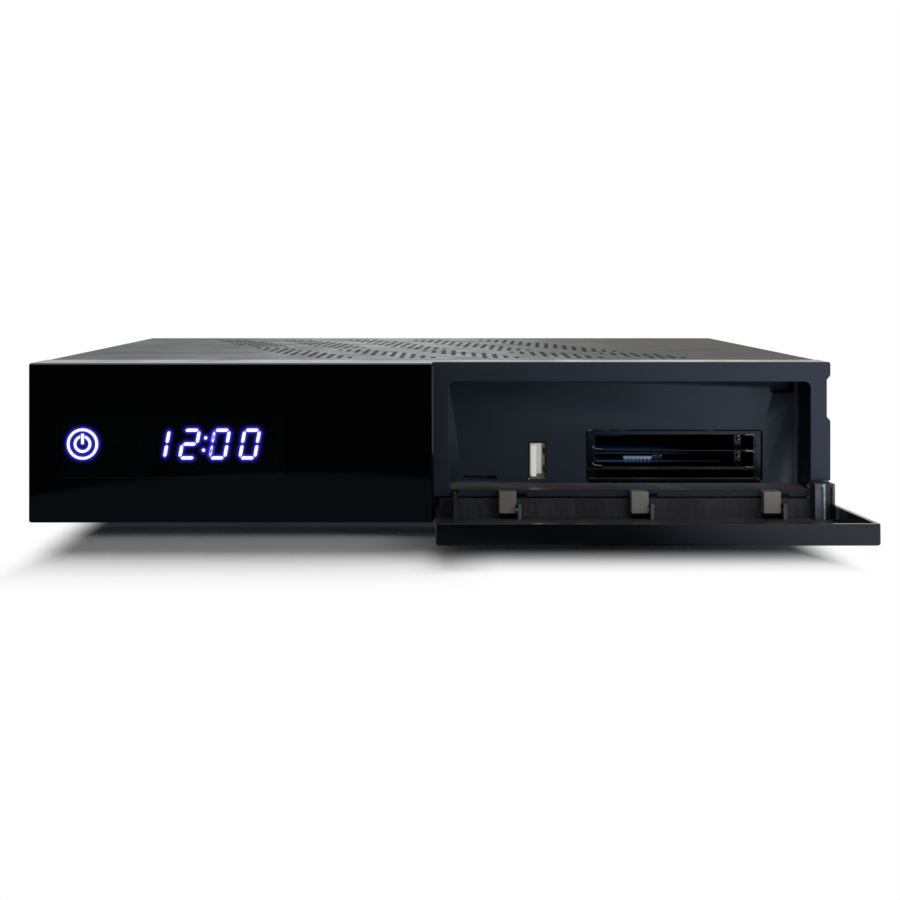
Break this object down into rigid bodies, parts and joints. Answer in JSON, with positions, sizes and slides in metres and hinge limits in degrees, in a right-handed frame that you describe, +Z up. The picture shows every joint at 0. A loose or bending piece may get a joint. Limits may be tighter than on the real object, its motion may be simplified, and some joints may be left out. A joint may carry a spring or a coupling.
{
  "type": "satellite television receiver",
  "caption": "Low black set-top receiver with a lit clock panel and a fold-down front door over card and USB slots, a vented steel cover and rear sockets.",
  "frame": {"origin": "on the table, under the middle of the outline with the door open", "axes": "+X to the viewer's right along the front, +Y from the front to the rear, +Z up"},
  "size_m": [0.27, 0.2593, 0.0584],
  "materials": {
    "zinc_steel": "galvanised",
    "dark_painted_steel": "fine satin",
    "slate_plastic": "fine matt",
    "panel_gloss": "polished",
    "smoked_lens": "smoked, polished",
    "rear_painted_steel": "fine satin",
    "circuit_board": "solder mask",
    "black_plastic": "moulded",
    "lit_blue_white": "lit",
    "white_plastic": "moulded",
    "brass": "turned",
    "bright_steel": "zinc plated",
    "black_steel": "black oxide",
    "aluminium": "extruded",
    "tin_plate": "tin plated",
    "nickel": "nickel plated",
    "blue_plastic": "moulded",
    "warm_grey_plastic": "moulded",
    "rubber": "matt",
    "magnet": "nickel plated",
    "door_gloss": "polished outside, satin inside",
    "door_rail_plastic": "moulded"
  },
  "bodies": {
    "receiver": {"bottom_chassis": "zinc_steel", "rear_panel": "rear_painted_steel", "top_cover": "dark_painted_steel", "front_bezel": "slate_plastic", "display_panel": "panel_gloss", "display_lens": "smoked_lens", "front_board": "circuit_board", "clock_display": "black_plastic", "clock_segments": "lit_blue_white", "touch_key_light": "lit_blue_white", "infrared_receiver": "black_plastic", "ribbon_cable": "white_plastic", "main_board": "circuit_board", "board_standoffs": "brass", "board_screws": "bright_steel", "front_board_screws": "bright_steel", "bezel_screws": "bright_steel", "cover_screws": "black_steel", "processor": "black_plastic", "heat_sink": "aluminium", "memory_chips": "black_plastic", "capacitors": "aluminium", "clock_battery": "bright_steel", "tuner_main": "tin_plate", "tuner_second": "tin_plate", "aerial_socket_1": "nickel", "aerial_socket_2": "nickel", "aerial_socket_3": "nickel", "aerial_socket_4": "nickel", "aerial_nuts": "nickel", "hdmi_output": "nickel", "hdmi_input": "nickel", "network_socket": "black_plastic", "rear_usb_sockets": "nickel", "rear_usb_tongues": "blue_plastic", "optical_output": "black_plastic", "audio_socket": "black_plastic", "dc_socket": "black_plastic", "power_switch_housing": "black_plastic", "front_usb_shell": "nickel", "front_usb_insulator": "white_plastic", "memory_card_socket": "tin_plate", "module_cage": "black_plastic", "cage_shield": "tin_plate", "module_connectors": "black_plastic", "smart_card_reader": "black_plastic", "hinge_knuckle_left": "warm_grey_plastic", "hinge_knuckle_middle": "warm_grey_plastic", "hinge_knuckle_right": "warm_grey_plastic", "foot_front_left": "rubber", "foot_front_right": "rubber", "foot_rear_left": "rubber", "foot_rear_right": "rubber", "door_catch_magnet": "magnet"},
    "door": {"door_shell": "door_gloss", "door_hinge_rail": "door_rail_plastic", "door_hinge_pins": "bright_steel", "door_catch_plate": "bright_steel"},
    "rocker": {"power_rocker": "black_plastic"},
    "shutter": {"optical_shutter": "black_plastic"}
  },
  "joints": [
    {"name": "door_hinge", "type": "hinge", "parent": "receiver", "child": "door", "pos_m": [0.0675, -0.07945, 0.0083], "axis": [-1, 0, 0], "range_deg": [0, 88]},
    {"name": "power_rocker_hinge", "type": "hinge", "parent": "receiver", "child": "rocker", "pos_m": [-0.1142, 0.11565, 0.0234], "axis": [0, 0, -1], "range_deg": [0, 14]},
    {"name": "optical_shutter_hinge", "type": "hinge", "parent": "receiver", "child": "shutter", "pos_m": [-0.0577, 0.11485, 0.0216], "axis": [-1, 0, 0], "range_deg": [0, 80], "stiffness_Nm_per_rad": 0.00002, "springref_deg": -28.65}
  ]
}
